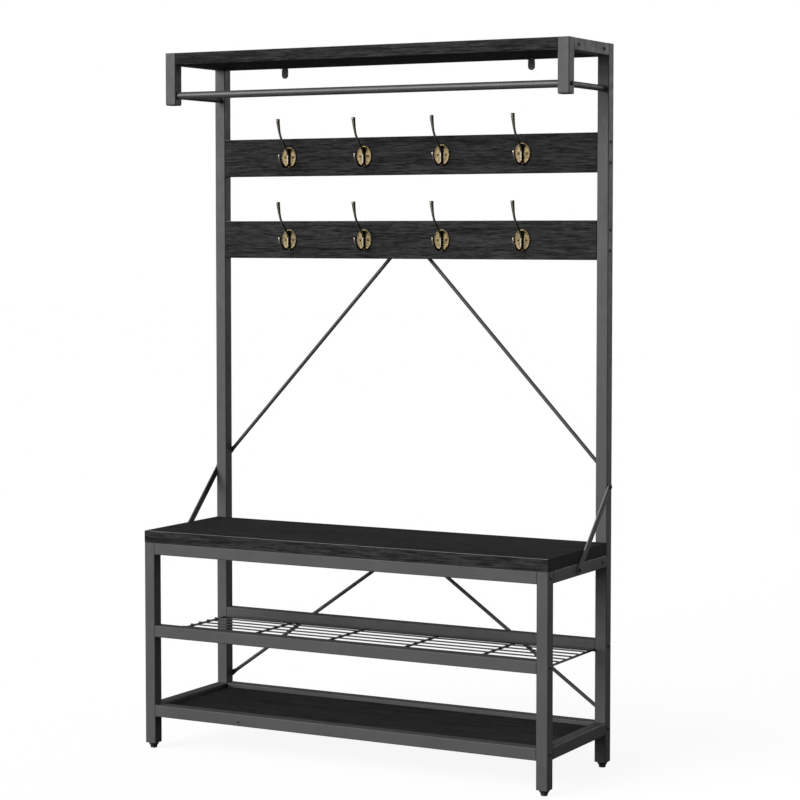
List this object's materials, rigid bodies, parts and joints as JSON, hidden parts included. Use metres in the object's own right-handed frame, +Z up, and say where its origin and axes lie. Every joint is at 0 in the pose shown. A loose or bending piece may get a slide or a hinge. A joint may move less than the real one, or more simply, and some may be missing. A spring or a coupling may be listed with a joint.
{
  "type": "hall tree",
  "caption": "Free-standing hall tree: steel tube frame with a bench seat, wire mesh shoe shelf, low shelf, rows of coat hooks, a coat rail and a top shelf.",
  "frame": {"origin": "on the floor, under the middle of the whole object", "axes": "+Z up, +X along the width to the right of a person facing the front, the front faces -Y"},
  "size_m": [1.2152, 0.4024, 1.882],
  "materials": {
    "frame_steel": "dark grey powder coat, satin",
    "mesh_steel": "dark grey powder coat, satin",
    "coat_rail_steel": "dark grey powder coat, smoother than the frame",
    "board": "black wood-grain laminate, matt",
    "hook_bronze": "antique bronze, darkened in the hollows",
    "bolt_steel": "black, semi-gloss",
    "black_plastic": "matt black",
    "foot_plastic": "matt black"
  },
  "bodies": {
    "frame": {"left_upright": "frame_steel", "left_front_leg": "frame_steel", "left_seat_side_rail": "frame_steel", "left_lower_side_rail": "frame_steel", "left_side_strap": "frame_steel", "left_short_post": "frame_steel", "left_top_side_rail": "frame_steel", "left_lower_arm": "frame_steel", "left_upper_brace": "frame_steel", "left_lower_brace": "frame_steel", "left_wall_bracket": "frame_steel", "left_post_plug": "black_plastic", "left_strap_top_bolt": "bolt_steel", "left_strap_foot_bolt": "bolt_steel", "left_coat_rail_bolt": "bolt_steel", "left_front_leg_insert": "black_plastic", "left_rear_leg_insert": "black_plastic", "right_upright": "frame_steel", "right_front_leg": "frame_steel", "right_seat_side_rail": "frame_steel", "right_lower_side_rail": "frame_steel", "right_side_strap": "frame_steel", "right_short_post": "frame_steel", "right_top_side_rail": "frame_steel", "right_lower_arm": "frame_steel", "right_upper_brace": "frame_steel", "right_lower_brace": "frame_steel", "right_wall_bracket": "frame_steel", "right_post_plug": "black_plastic", "right_strap_top_bolt": "bolt_steel", "right_strap_foot_bolt": "bolt_steel", "right_coat_rail_bolt": "bolt_steel", "right_front_leg_insert": "black_plastic", "right_rear_leg_insert": "black_plastic", "front_seat_rail": "frame_steel", "front_mesh_rail": "frame_steel", "front_lower_rail": "frame_steel", "rear_seat_rail": "frame_steel", "rear_mesh_rail": "frame_steel", "rear_lower_rail": "frame_steel", "mesh_shelf": "mesh_steel", "coat_rail": "coat_rail_steel", "seat_board": "board", "lower_shelf_board": "board", "top_shelf_board": "board", "upper_hook_board": "board", "lower_hook_board": "board", "upper_hook_1": "hook_bronze", "upper_hook_2": "hook_bronze", "upper_hook_3": "hook_bronze", "upper_hook_4": "hook_bronze", "lower_hook_1": "hook_bronze", "lower_hook_2": "hook_bronze", "lower_hook_3": "hook_bronze", "lower_hook_4": "hook_bronze"},
    "left_front_foot": {"left_front_levelling_foot": "foot_plastic"},
    "left_rear_foot": {"left_rear_levelling_foot": "foot_plastic"},
    "right_front_foot": {"right_front_levelling_foot": "foot_plastic"},
    "right_rear_foot": {"right_rear_levelling_foot": "foot_plastic"}
  },
  "joints": [
    {"name": "left_front_foot_screw", "type": "slide", "parent": "frame", "child": "left_front_foot", "axis": [0, 0, -1], "range_m": [0, 0.01]},
    {"name": "left_rear_foot_screw", "type": "slide", "parent": "frame", "child": "left_rear_foot", "axis": [0, 0, -1], "range_m": [0, 0.01]},
    {"name": "right_front_foot_screw", "type": "slide", "parent": "frame", "child": "right_front_foot", "axis": [0, 0, -1], "range_m": [0, 0.01]},
    {"name": "right_rear_foot_screw", "type": "slide", "parent": "frame", "child": "right_rear_foot", "axis": [0, 0, -1], "range_m": [0, 0.01]}
  ]
}
